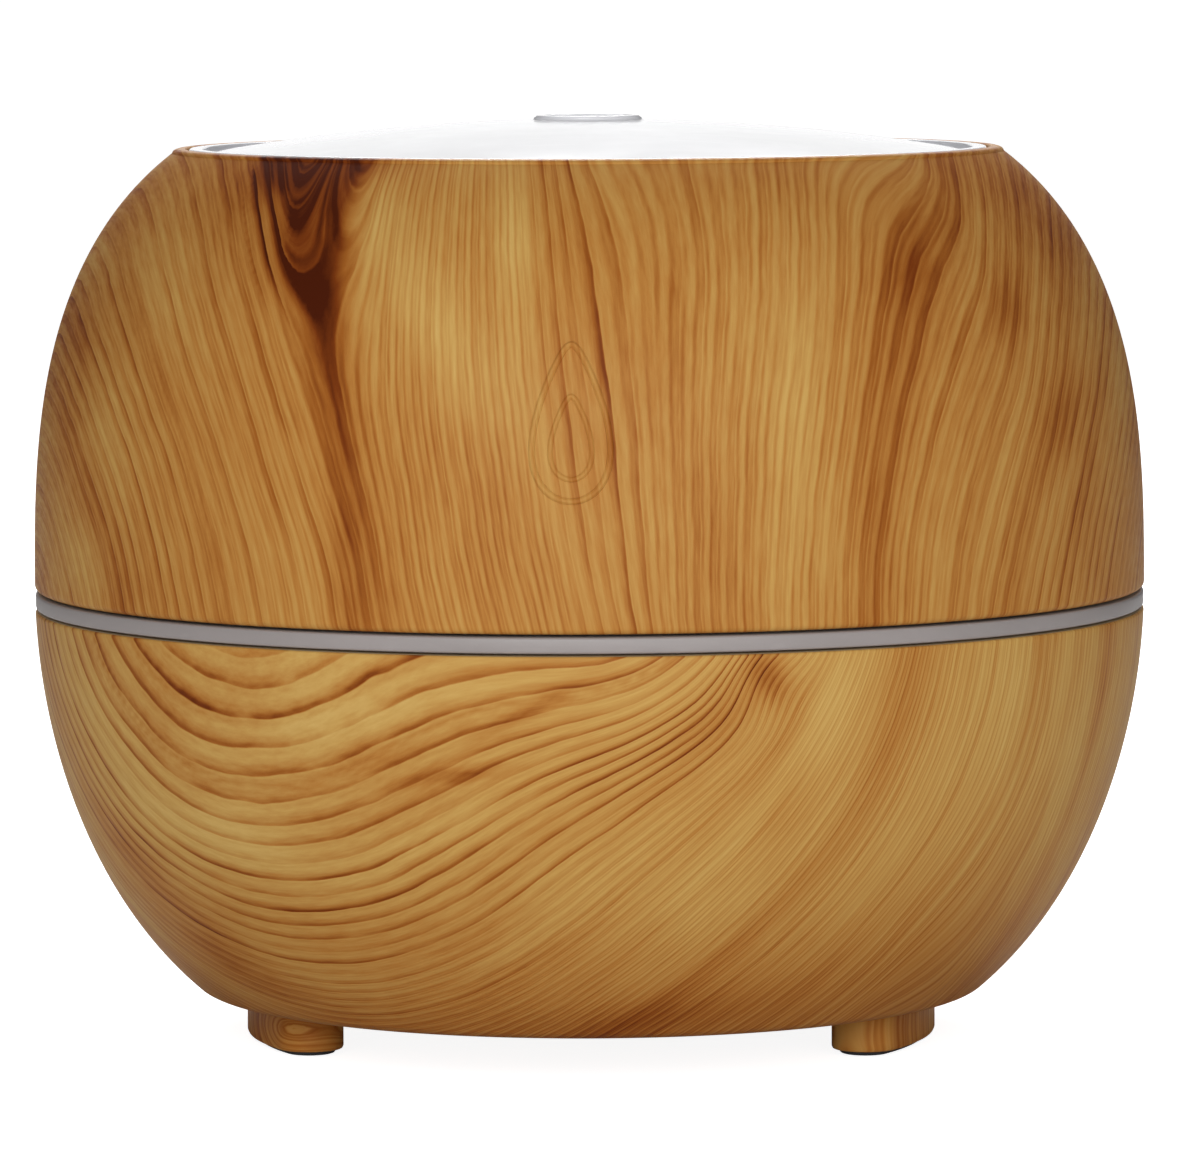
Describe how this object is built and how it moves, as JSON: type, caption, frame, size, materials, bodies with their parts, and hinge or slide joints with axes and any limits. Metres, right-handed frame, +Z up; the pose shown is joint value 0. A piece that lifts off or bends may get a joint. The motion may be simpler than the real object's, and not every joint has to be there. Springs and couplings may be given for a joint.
{
  "type": "essential oil diffuser",
  "caption": "Round ultrasonic aroma diffuser: wood-look lift-off cover with a white domed top and mist outlet, light ring, and a bowl base with tank, fan and buttons.",
  "frame": {"origin": "on the vertical axis of the round body, at the surface that the diffuser stands on", "axes": "+Z up along the body's axis; the front faces -Y, and the buttons and the power socket are at the back, towards +Y"},
  "size_m": [0.13, 0.13, 0.108],
  "materials": {
    "wood_print": "satin wood-grain film over moulded ABS",
    "gloss_white": "polished white ABS",
    "milky_white": "satin white polypropylene",
    "frosted": "frosted translucent polycarbonate, light off",
    "black_plastic": "black moulded plastic",
    "rubber": "dark grey soft rubber",
    "silicone": "translucent white silicone",
    "steel": "zinc-plated steel",
    "heat_sink": "plain aluminium",
    "brass": "brass-faced piezo ceramic disc",
    "circuit_board": "green solder mask over glass-fibre laminate",
    "component_dark": "shrink-sleeved or moulded component body",
    "winding": "enamelled copper winding under varnish",
    "led": "LED package with yellow phosphor",
    "lead_black": "black PVC insulation",
    "lead_red": "red PVC insulation"
  },
  "bodies": {
    "base": {"base_shell": "wood_print", "light_ring": "frosted", "foot_pad_left": "rubber", "foot_pad_right": "rubber", "foot_pad_rear": "rubber", "base_screw_1": "steel", "base_screw_2": "steel", "base_screw_3": "steel", "water_tank": "milky_white", "transducer_disc": "brass", "transducer_seal": "silicone", "transducer_clamp": "milky_white", "clamp_screw_1": "steel", "clamp_screw_2": "steel", "clamp_screw_3": "steel", "fan_frame": "black_plastic", "fan_screw_1": "steel", "fan_screw_2": "steel", "main_board": "circuit_board", "board_screw_1": "steel", "board_screw_2": "steel", "choke_coil": "winding", "capacitor_1": "component_dark", "capacitor_2": "component_dark", "driver_chip": "component_dark", "heat_sink": "heat_sink", "power_transistor": "component_dark", "fan_header": "milky_white", "jack_header": "milky_white", "disc_header": "milky_white", "led_board": "circuit_board", "led_1": "led", "led_2": "led", "led_3": "led", "led_4": "led", "led_5": "led", "led_6": "led", "mist_switch": "black_plastic", "light_switch": "black_plastic", "key_board": "circuit_board", "dc_jack": "black_plastic", "jack_nut": "steel", "fan_lead": "lead_black", "jack_lead": "lead_red", "disc_lead": "lead_black", "led_lead": "lead_black", "key_lead": "lead_black"},
    "cover": {"upper_cover": "wood_print", "top_dome": "gloss_white", "mist_guide": "milky_white", "guide_screw_1": "steel", "guide_screw_2": "steel", "guide_screw_3": "steel"},
    "fan_rotor": {"fan_rotor": "black_plastic"},
    "mist_button": {"mist_button": "gloss_white"},
    "light_button": {"light_button": "gloss_white"}
  },
  "joints": [
    {"name": "lid_lift", "type": "slide", "parent": "base", "child": "cover", "axis": [0, 0, 1], "range_m": [0, 0.12]},
    {"name": "fan_spin", "type": "hinge", "parent": "base", "child": "fan_rotor", "pos_m": [0.015, 0, 0.015], "axis": [0, 0, 1], "continuous": true},
    {"name": "mist_press", "type": "slide", "parent": "base", "child": "mist_button", "axis": [0, -0.9613, 0.2756], "range_m": [0, 0.0005], "stiffness_N_per_m": 1500},
    {"name": "light_press", "type": "slide", "parent": "base", "child": "light_button", "axis": [0, -0.9613, 0.2756], "range_m": [0, 0.0005], "stiffness_N_per_m": 1500}
  ]
}
